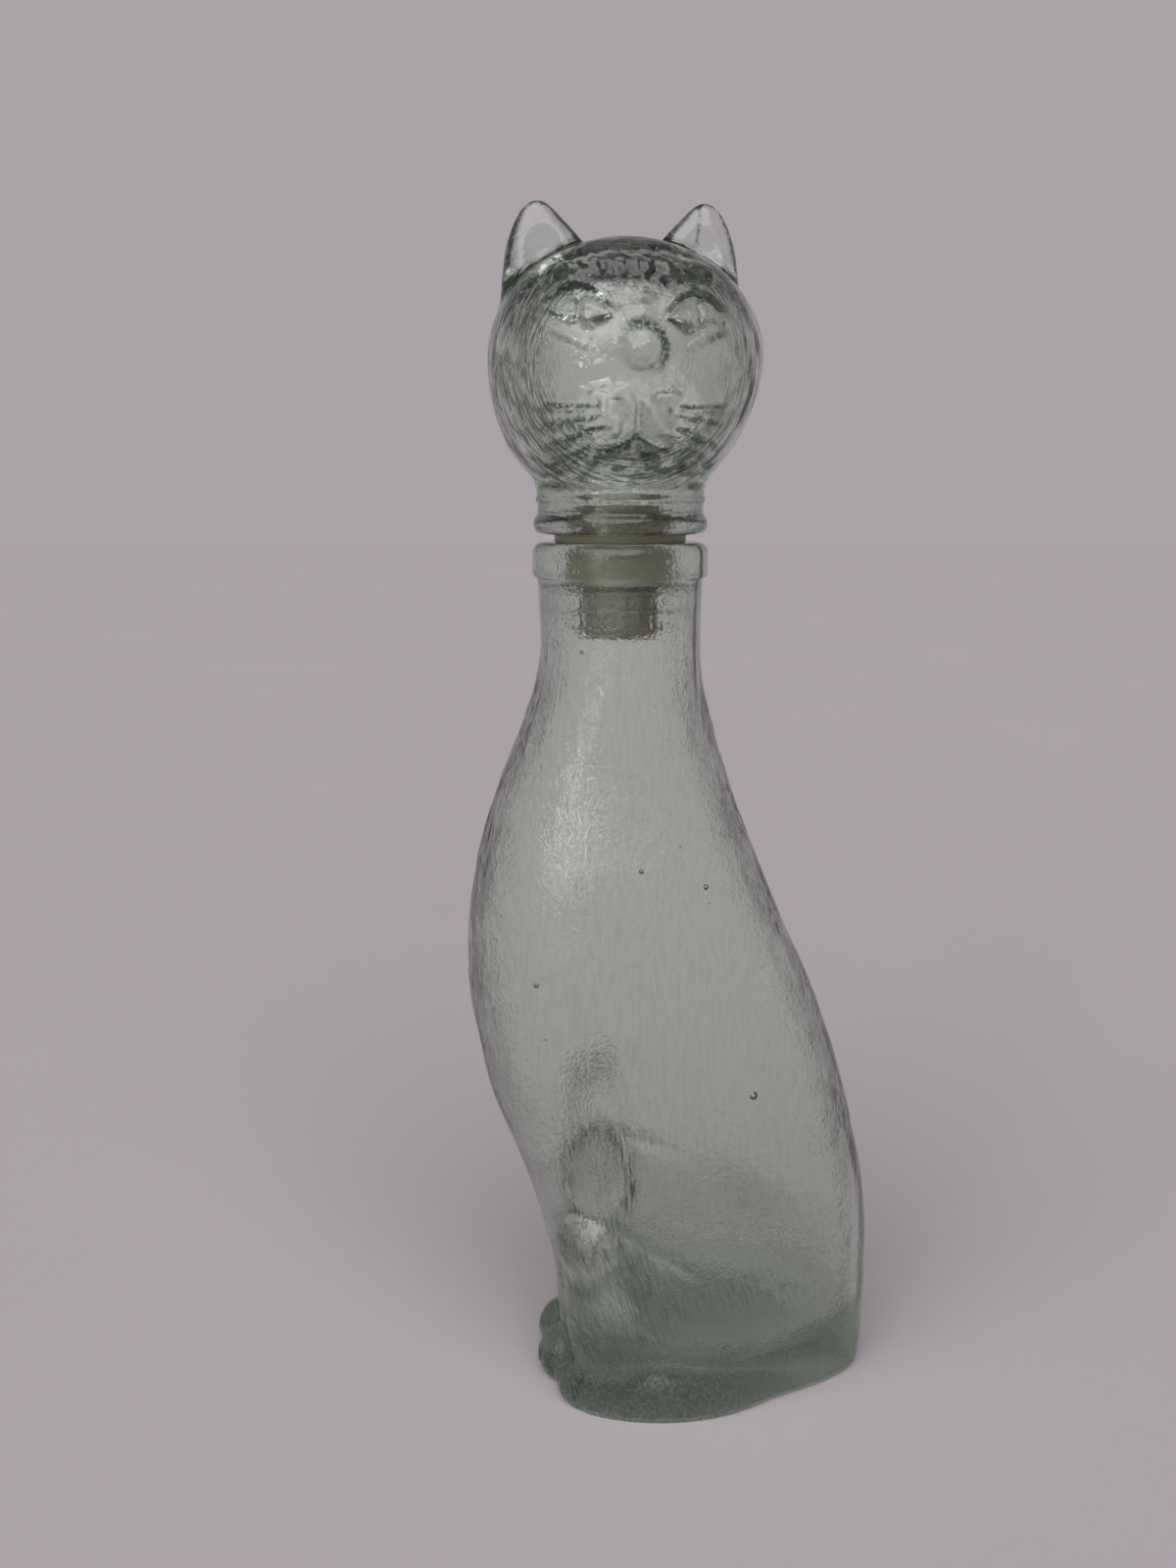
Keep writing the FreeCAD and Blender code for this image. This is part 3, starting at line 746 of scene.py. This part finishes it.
head = {
    "turn": 95.0, "seat": headBox[0].z / mm, "lift": 0.05,
    "skullHeight": 43.0, "skullShift": 1.0, "shiftFrom": (20, 20), "faceHeight": 40.0,
    "skullHalf": (34.4, 32.7), "skullUpper": 28.4, "skullLower": 38.0, "wall": 6.5,
    "hollowWave": 0.25, "hollowGrain": (1 / 4, 9, 15),
    "bore": 14.2, "boreBlend": 3.0, "boreEdge": 0.8, "seatEdge": 0.6, "earBlend": 2.2,
    "low": (-36, -40, 0), "high": (37, 35, 80.2), "cell": 0.66,
    # radius, foot, top, rounding and blend of the collar, its bead and its rib
    "drums": [(21.2, 0.4, 12.5, 0.4, 5.0), (22.3, 0, 5.0, 2.2, 0.9), (21.65, 7.8, 9.5, 0.8, 0.9)],
}
headForms = [
    # middle, half sizes, softness
    {"at": (0.0, -26.5, 48), "half": (3.6, 6.2, 9), "blend": 5.0},      # bridge of the nose
    {"at": (6.4, -25.0, 29.5), "half": (7.8, 8.4, 7.4), "blend": 2.5, "twin": True},    # muzzle pads
    {"at": (0.0, -22.6, 18.5), "half": (7.0, 6.0, 4.5), "blend": 3.0},  # chin
    {"at": (1.0, -30.6, 42.4), "half": (5.6, 4.9, 5.6), "blend": 2.6},  # nose
    {"at": (0.0, -22.0, 60.0), "half": (19, 5.6, 4.4), "blend": 3.5},   # brow
]
ear = {
    # height above the skull's middle, middle sideways, half width, half thickness
    "stations": [
        (2, 17.0, 12.6, 7.5), (14, 17.2, 12.6, 6.8), (20, 17.4, 11.9, 6.0), (28, 18.9, 8.9, 4.6),
        (33, 20.2, 5.4, 3.2), (35.6, 20.6, 3.0, 2.1), (36.7, 20.6, 1.2, 1.0), (37.0, 20.6, 0.25, 0.25),
    ],
    "behind": 1.0, "ease": 0.8, "tip": (36.9, 0.6), "root": (3, 2.0),
    "scoopAt": (19.4, -6.2, 24.5), "scoopHalf": (6.2, 4.6, 9.0), "scoopEdge": 1.0,
    "seamAt": (18.6, 72), "seamLean": 0.09, "seamWidth": 0.45, "seamFrom": (63, 2), "seamDepth": 0.35,
}


def earSeam(x, y, z):
    # The mould's line down the front of the ear at the photograph's right
    line = ear["seamAt"][0] + ear["seamLean"] * (z - ear["seamAt"][1])
    return bell(x, line, ear["seamWidth"]) * (y < ear["behind"]) * rise(z, *ear["seamFrom"])


def earField(x, y, z):
    above = z - head["skullHeight"]
    lowest, highest = ear["stations"][0][0], ear["stations"][-1][0]
    middle, half, thick = np.moveaxis(through(ear["stations"], np.clip(above, lowest, highest)), -1, 0)
    field = flatOval((np.abs(x) - middle) / half, (y - ear["behind"]) / thick, half, thick) * ear["ease"]
    field = roundMax(field, above - ear["tip"][0], ear["tip"][1])
    field = roundMax(field, ear["root"][0] - above, ear["root"][1])
    scoop = ovoid(np.abs(x), y, above, ear["scoopAt"], ear["scoopHalf"])
    return roundMax(field, -scoop, ear["scoopEdge"]) + ear["seamDepth"] * earSeam(x, y, z)


# Face: places and sizes in millimetres, with steps and seeds of the grains

face = {
    "frontTo": (-6, 9),
    "eye": {
        "at": (13.8, 50.0), "half": (7.5, 4.4), "slant": 5.0, "lean": 0.06, "corner": 0.04,
        "edge": 1.15, "rimWidth": 0.35, "lidAt": (1.5, 0.9), "lidWidth": 0.3, "lidTo": (1.25, 0.4),
        "pupilWidth": 0.8, "pupilTo": (0.95, 0.4), "grain": (2.2, 1.6, 19), "rimGrain": (1.5, 1.5, 20),
    },
    "cheekbone": {"at": (12, 43.2), "climb": 0.5, "width": 1.4, "along": (9, 4, 24, 4)},
    "mouth": {"at": 21.4, "bow": 1.9, "wave": 2.6, "fade": 8, "width": 0.8, "to": (10.5, 3)},
    "slit": {"width": 0.7, "height": (21.5, 2, 32, 2)},
    "nose": {"at": (1.0, 42.4), "radius": 5.2, "width": 1.1, "heading": 0.75, "to": (1.95, 0.9)},
    "whiskers": {
        "root": (-4, 29.0), "nearest": 0.5, "pitch": 36, "sharp": 1.5, "along": (7, 3, 23, 5),
        "heading": -0.22, "spread": (0.42, 0.15), "wander": 1.2, "wanderGrain": (3, 1 / 9, 16),
        "gapGrain": (4, 1 / 12, 17),
    },
    "chin": {"spot": ((-1, 16.5), (16, 6)), "sag": 0.02, "grain": (1.5, 4, 12), "deep": (-0.05, 0.3)},
    "brow": {"spot": ((-3, 60.5), (21, 5)), "lean": 0.15, "grain": (1.5, 1.4, 13), "deep": (0.05, 0.3)},
    "pads": {"spot": ((6.5, 29), (6.5, 6.5)), "grain": (1.6, 1.6, 18)},
    "skin": {"to": (30, 6), "grain": (1.4, 1.4, 21)},
    "fur": {"from": (18, 8), "top": (60, 6), "grain": (1.4, 1 / 5.5, 11)},
    "rear": {"from": (16, 10), "grain": (1.7, 1 / 5.5, 14)},
}


def eyeRelief(x, z, side):
    eye = face["eye"]
    slant = math.radians(eye["slant"])
    offX, offZ = side - eye["at"][0], z - eye["at"][1] + eye["lean"] * x
    u = (offX * math.cos(slant) + offZ * math.sin(slant)) / eye["half"][0]
    v = (offZ * math.cos(slant) - offX * math.sin(slant)) / eye["half"][1]
    lens = np.abs(v) / np.maximum(1 - u * u, eye["corner"])
    within = np.abs(u) < 1
    ball = ease(eye["edge"] - lens) * within
    rim = bell(lens, eye["edge"], eye["rimWidth"]) * within * (v > 0)
    lidLine = eye["lidAt"][0] - eye["lidAt"][1] * u * u
    lid = bell(v, lidLine, eye["lidWidth"]) * fall(np.abs(u), *eye["lidTo"])
    pupil = bell(u * eye["half"][0], 0, eye["pupilWidth"]) * fall(np.abs(v), *eye["pupilTo"])
    height = 1.2 * ball - 0.9 * pupil - 0.5 * rim + 0.7 * lid + 0.25 * ball * grain(eye["grain"], x, z)
    # Painted shade in the upper rim and the pupil, broken up at random along the rim
    rimShadePatchy = ease(grain(eye["rimGrain"], x, z) + 0.75)
    return height, 0.7 * rim * rimShadePatchy + 0.45 * pupil


def muzzleRelief(x, z, side):
    bone, mouth, slit, nose = face["cheekbone"], face["mouth"], face["slit"], face["nose"]
    boneLine = bone["at"][1] + bone["climb"] * (side - bone["at"][0])
    cheek = bell(z, boneLine, bone["width"]) * between(side, *bone["along"])
    lipLine = mouth["at"] + mouth["bow"] * np.cos(side / mouth["wave"]) * bell(side, 0, mouth["fade"])
    lips = bell(z, lipLine, mouth["width"]) * fall(side, *mouth["to"])
    split = bell(side, 0, slit["width"]) * between(z, *slit["height"])
    offX, offZ = x - nose["at"][0], z - nose["at"][1]
    noseEdge = bell(np.hypot(offX, offZ), nose["radius"], nose["width"])
    noseEdge = noseEdge * fall(np.abs(np.arctan2(offZ, offX) - nose["heading"]), *nose["to"])
    height = 0.8 * cheek - 0.9 * lips - 0.8 * split - 0.6 * noseEdge
    # Painted shade in the mouth line, the slit and the dark arc round the nose
    return height, 0.5 * lips + 0.3 * split + 1.4 * noseEdge


def whiskerLines(z, side):
    row = face["whiskers"]
    fan = np.arctan2(z - row["root"][1], np.maximum(side - row["root"][0], row["nearest"]))
    wander = row["wander"] * grain(row["wanderGrain"], side, fan)
    stroke = np.maximum(np.sin(fan * row["pitch"] + wander), 0) ** row["sharp"]
    reach = between(side, *row["along"]) * fall(np.abs(fan - row["heading"]), *row["spread"])
    return reach * stroke * ease(grain(row["gapGrain"], side, fan) + 0.75)


def faceRelief(x, y, z):
    # The face and its fur outwards, with where shade is painted into them and where they are furred
    front = fall(y, *face["frontTo"])
    side = np.abs(x - head["skullShift"] / 2)
    reach = np.hypot(x, z - head["faceHeight"])
    angle = np.arctan2(z - head["faceHeight"], x)
    names = ("fur", "chin", "brow", "pads", "skin", "rear")
    fur, chin, brow, pads, skin, rear = (face[name] for name in names)
    height, paintedShade = (a + b for a, b in zip(eyeRelief(x, z, side), muzzleRelief(x, z, side)))
    whisker = whiskerLines(z, side)
    height -= 0.5 * whisker
    # Painted shade in the whisker grooves
    paintedShade += 1.7 * whisker
    outer = rise(reach, *fur["from"]) * fall(z, *fur["top"])
    height += 0.3 * outer * grain(fur["grain"], reach, angle)
    chinSpot = patch(x, z, *chin["spot"])
    wrinkle = grain(chin["grain"], z + chin["sag"] * x * x, x)
    height += 0.6 * chinSpot * wrinkle
    # Painted shade in the chin's wrinkles
    paintedShade += 1.4 * chinSpot * fall(wrinkle, *chin["deep"])
    browSpot = patch(x, z, *brow["spot"])
    tufts = grain(brow["grain"], x + brow["lean"] * z, z)
    height += 0.7 * browSpot * tufts
    # Painted shade over the brow, deepest between its tufts
    paintedShade += browSpot * (0.35 + 0.8 * fall(tufts, *brow["deep"]))
    height += 0.14 * fall(reach, *skin["to"]) * grain(skin["grain"], x, z)
    height += 0.75 * patch(side, z, *pads["spot"]) * grain(pads["grain"], x, z)
    height = height * front + 0.16 * (1 - front) * grain(rear["grain"], reach, angle)
    frontFur = outer + 0.5 * browSpot + 0.5 * chinSpot + 0.05
    rearFur = 0.12 + 0.75 * rise(side, *rear["from"])
    return height, paintedShade * front, rearFur + (frontFur - rearFur) * front


def skull(x, y, z, inset):
    # Flatter above its middle than below
    middle = (head["skullShift"] * rise(z, *head["shiftFrom"]), 0, head["skullHeight"])
    halfX, halfY = (half - inset for half in head["skullHalf"])
    upper = ovoid(x, y, z, middle, (halfX, halfY, head["skullUpper"] - inset))
    lower = ovoid(x, y, z, middle, (halfX, halfY, head["skullLower"] - inset))
    return np.where(z > head["skullHeight"], upper, lower)


def headField(x, y, z):
    field = skull(x, y, z, 0)
    for form in headForms:
        sideways = np.abs(x - head["skullShift"] / 2) if form.get("twin") else x
        field = roundMin(field, ovoid(sideways, y, z, form["at"], form["half"]), form["blend"])
    field = field - faceRelief(x, y, z)[0]
    field = roundMin(field, earField(x, y, z), head["earBlend"])
    for *sizes, blend in head["drums"]:
        field = roundMin(field, drum(x, y, z, *sizes), blend)
    field = roundMax(field, -z, head["seatEdge"])
    wave = head["hollowWave"] * grain(head["hollowGrain"], np.arctan2(y, x), z)
    hollow = skull(x, y, z, head["wall"]) + wave
    bore = np.maximum(np.hypot(x, y) - head["bore"], z - head["skullHeight"])
    return roundMax(field, -roundMin(hollow, bore, head["boreBlend"]), head["boreEdge"])


# Where shade is painted on the head's outside, and where it is furred

headShade = {
    "skin": (24.5, 2), "skinLow": (11, 3), "crown": (58, 7, 74, 2), "crownWithin": 31.5,
    "collarTop": (13, 2), "collarOutside": 18, "ears": (1.2, 1), "earsAbove": 55,
    "lean": 0.011,      # the fur is deeper towards the photograph's left
}


def buildHead():
    points, faces = netSurface(headField, head["low"], head["high"], head["cell"])
    x, y, z = points.T
    _, paintedShade, fur = faceRelief(x, y, z)
    shade = headShade
    away = np.hypot(np.hypot(x - head["skullShift"], y), z - head["skullHeight"])
    skin = rise(away, *shade["skin"]) * rise(z, *shade["skinLow"])
    crown = between(z, *shade["crown"]) * (away < shade["crownWithin"])
    collar = fall(z, *shade["collarTop"]) * (np.hypot(x, y) > shade["collarOutside"])
    ears = rise(skull(x, y, z, 0), *shade["ears"]) * (z > shade["earsAbove"])
    # Painted shade: the face's, plus over the crown, round the collar's foot and along the ears' seam, and
    # none elsewhere on the ears
    paintedShade = (paintedShade + 0.4 * crown) * skin * (1 - ears) + 0.25 * collar + 0.9 * ears * earSeam(x, y, z)
    fur = fur * skin * (1 - 0.6 * crown) * (1 - 0.85 * ears) * (1 - shade["lean"] * x)
    turn = math.radians(head["turn"])
    turned = np.stack([
        x * math.cos(turn) - y * math.sin(turn),
        x * math.sin(turn) + y * math.cos(turn),
        z + head["seat"] + head["lift"],
    ], 1)
    return (turned, faces), {"paintedShade": paintedShade, "fur": fur}


# Plug: a moulded stem, with its fins from a node tree

plug = {
    "seat": headBox[0].z / mm - 2.0, "top": plugBox[1].z / mm, "bottom": plugBox[0].z / mm,
    "flange": plugBox[1].x / mm, "flangeHeight": 2.0, "stem": 14.82, "stemLength": 10.0,
    "core": 9.8, "spigot": 10.4, "hole": 5.5, "holeFloor": 3.0, "edge": 0.35, "pole": 0.4, "lift": 0.05,
    "finThick": 0.5, "finEdge": 0.3, "columns": 96,
    # radius, height of the first fin, pitch, count, root
    "lowerFins": (13.9, 2.5, 4.6, 3, 9.2), "upperFins": (14.05, 2.0, 3.6, 2, 9.8),
    "absorbs": (0.8, 0.78, 0.6), "density": 160.0,
    "colours": [(0.3, (0.305, 0.288, 0.185)), (0.7, (0.4, 0.38, 0.255))],
}


def rounded(outline, edge):
    # Breaks each corner of a radius-and-height outline with a small bevel of three points
    points = [np.array(p, float) for p in outline]
    made = [points[0]]
    for point, last, following in zip(points[1:], points, points[2:]):
        before, after = last - point, following - point
        reach = min(edge, np.linalg.norm(before) * 0.4, np.linalg.norm(after) * 0.4)
        a = point + before / np.linalg.norm(before) * reach
        b = point + after / np.linalg.norm(after) * reach
        made += [a, (a + b) / 4 + point / 2, b]
    return [*made, points[-1]]


def lathe(outline):
    angles = np.linspace(0, 2 * math.pi, plug["columns"], endpoint=False)
    return [circle(radius, angles, z) for radius, z in outline]


def plugStem():
    seat, low = plug["seat"] + plug["lift"], plug["seat"] - plug["stemLength"]
    flangeTop = plug["seat"] + plug["flangeHeight"]
    bottom, top, pole = plug["bottom"], plug["top"], plug["pole"]
    holeFloor = bottom + plug["holeFloor"]
    outline = rounded([
        (pole, bottom), (plug["core"], bottom), (plug["core"], low), (plug["stem"], low),
        (plug["stem"], seat), (plug["flange"], seat), (plug["flange"], flangeTop),
        (plug["spigot"], flangeTop), (plug["spigot"], top), (plug["hole"], top),
        (plug["hole"], holeFloor), (pole, holeFloor),
    ], plug["edge"])
    return meshObject("stopperPlug", *turnedShell(lathe(outline), (0, 0, bottom), (0, 0, holeFloor)))


def finTree(name, material):
    fin, inputs = newTree(
        name, {"Count": "NodeSocketInt", "Pitch": "NodeSocketFloat", "Start": "NodeSocketVector"},
    )
    offset = fin.make("ShaderNodeCombineXYZ", {"Z": fin.other("Pitch")})
    line = fin.make(
        "GeometryNodeMeshLine",
        {"Count": fin.other("Count"), "Start Location": fin.other("Start"), "Offset": offset},
    )
    placed = fin.make("GeometryNodeInstanceOnPoints", {"Points": line, "Instance": fin})
    real = fin.make("GeometryNodeRealizeInstances", {"Geometry": placed})
    return endTree(real, material), inputs


def plugFins(name, base, material):
    radius, first, pitch, count, root = plug[name]
    thick = plug["finThick"]
    corners = [(root, thick), (root, 0), (radius, 0), (radius, thick), (root, thick)]
    rings = lathe(rounded(corners, plug["finEdge"])[:-1])
    points, faces = turnedShell(rings)
    last = np.arange(len(points) - plug["columns"], len(points))
    faces += ringFaces(last, np.arange(plug["columns"]))
    host = meshObject(name, points, faces)
    tree, inputs = finTree(name, material)
    return runNodes(host, tree, {
        inputs["Count"]: count, inputs["Pitch"]: pitch * mm, inputs["Start"]: (0, 0, (base + first) * mm),
    })


def plugMaterial():
    material, make = newMaterial("olivePlastic")
    coords = make.make("ShaderNodeTexCoord", output="Object")
    cloud = make.noise(coords, scale=120.0, detail=4.0)
    speck = make.noise(coords, scale=1500.0, detail=2.0)
    mixed = 0.75 * cloud + 0.25 * speck
    colour = make.make("ShaderNodeValToRGB", {"Fac": mixed}, stops=plug["colours"])
    surface = make.make(
        "ShaderNodeBsdfPrincipled",
        {
            "Base Color": colour, "Roughness": 0.3 + 0.14 * speck, "Transmission Weight": 0.5, "IOR": 1.5,
            "Normal": bumped(make, speck + 0.5 * cloud, distance=0.00012, strength=0.6),
        },
    )
    endClear(make, surface, plug["absorbs"], plug["density"])
    return material


# Build the pieces

bottleGlass = glassMaterial("bottleGlass", bodyStrokes, 1.0)
headGlass = glassMaterial("headGlass", headStrokes, 0.35)
plugPlastic = plugMaterial()

bottleShell, bottleMarks = buildBottle()
catBottle = joined(meshObject("catBottle", *bottleShell), buildSeeds(bottleGlass))
catBottle.data.materials.append(bottleGlass)
setMarks(catBottle, **bottleMarks)
print("bottle:", len(catBottle.data.polygons), "faces")

headShell, headMarks = buildHead()
catHead = meshObject("catHead", *headShell)
catHead.data.materials.append(headGlass)
setMarks(catHead, **headMarks)
print("head:", len(catHead.data.polygons), "faces")

stopperPlug = joined(
    plugStem(),
    plugFins("lowerFins", plug["bottom"], plugPlastic),
    plugFins("upperFins", plug["seat"] + plug["flangeHeight"], plugPlastic),
)
stopperPlug.data.materials.append(plugPlastic)
print("plug:", len(stopperPlug.data.polygons), "faces")

for piece, body, node, slot in (
    (catBottle, "bottle", "cat_bottle", "clear_glass"),
    (catHead, "head", "head_stopper", "clear_glass"),
    (stopperPlug, "plug", "stopper_plug", "plug_plastic"),
):
    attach(piece, body)
    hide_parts(node)


# Studio: a pale floor, a pale horizon under a darker ceiling, a low window and a wide high lamp

studio = {
    "floorSize": 6.0, "floorDrop": 0.05, "floorColour": (0.44, 0.402, 0.425),
    "cloud": [(0.35, 0.99), (0.65, 1.01)],      # where the floor is darkest and palest, and how much
    "horizon": (0.31, (0.399, 0.366, 0.388)), "ceiling": (0.62, (0.05, 0.048, 0.05)),
    # direction, height, width and strength of each lamp
    "window": (-32.0, 8.0, 9.0, 0.3), "fill": (-12.0, 49.0, 74.0, 3.16),
}


def buildFloor():
    material, make = newMaterial("paleFloor")
    coords = make.make("ShaderNodeTexCoord", output="Object")
    cloud = make.noise(coords, scale=3.0, detail=3.0)
    stops = [(at, [c * share for c in studio["floorColour"]]) for at, share in studio["cloud"]]
    colour = make.make("ShaderNodeValToRGB", {"Fac": cloud}, stops=stops)
    surface = make.make(
        "ShaderNodeBsdfPrincipled",
        {"Base Color": colour, "Roughness": 0.9, "Specular IOR Level": 0.1},
    )
    make.make("ShaderNodeOutputMaterial", {"Surface": surface})
    half, low = studio["floorSize"] / mm, -studio["floorDrop"]
    corners = [(-half, -half, low), (half, -half, low), (half, half, low), (-half, half, low)]
    floor = meshObject("floor", corners, [(0, 1, 2, 3)])
    floor.data.materials.append(material)


def buildWorld():
    world = bpy.data.worlds.new("studio")
    bpy.context.scene.world = world
    world.use_nodes = True
    world.node_tree.nodes.clear()
    make = Wire(world.node_tree)
    direction = make.make("ShaderNodeTexCoord", output="Generated")
    height = make.make("ShaderNodeSeparateXYZ", {"Vector": direction}, "Z")
    stops = [studio["horizon"], studio["ceiling"]]
    colour = make.make("ShaderNodeValToRGB", {"Fac": height}, stops=stops)
    light = make.make("ShaderNodeBackground", {"Color": colour, "Strength": 1.0})
    make.make("ShaderNodeOutputWorld", {"Surface": light})


def buildLamp(name):
    # Distant lamps light the whole floor alike
    azimuth, height, width, strength = studio[name]
    data = bpy.data.lights.new(name, "SUN")
    data.angle = math.radians(width)
    data.energy = strength
    lamp = bpy.data.objects.new(name, data)
    azimuth, height = math.radians(azimuth), math.radians(height)
    towards = Vector((
        math.cos(azimuth) * math.cos(height), math.sin(azimuth) * math.cos(height), math.sin(height),
    ))
    lamp.rotation_euler = (-towards).to_track_quat("-Z", "Y").to_euler()
    lamp.visible_camera = False
    bpy.context.scene.collection.objects.link(lamp)


# The photograph's camera, placed by its distance and turn round the neck's axis

view = {
    "lens": 30.825, "sensor": 36.0, "distance": 0.351, "height": 0.2505, "azimuth": 88.0, "down": 12.35,
    "aside": 1.348, "clipStart": 0.01,
}


def buildCamera():
    data = bpy.data.cameras.new("photoCamera")
    data.lens, data.sensor_width = view["lens"], view["sensor"]
    data.clip_start = view["clipStart"]
    camera = bpy.data.objects.new("photoCamera", data)
    a = math.radians(view["azimuth"])
    place = Vector((view["distance"] * math.sin(a), -view["distance"] * math.cos(a), view["height"]))
    heading = Matrix.Rotation(a + math.radians(view["aside"]), 4, "Z")
    tilt = Matrix.Rotation(math.radians(90 - view["down"]), 4, "X")
    camera.matrix_world = Matrix.Translation(place) @ heading @ tilt
    bpy.context.scene.collection.objects.link(camera)
    bpy.context.scene.camera = camera


buildFloor()
buildWorld()
buildLamp("window")
buildLamp("fill")
buildCamera()
bpy.context.scene.view_settings.view_transform = "Standard"
print("studio ready")
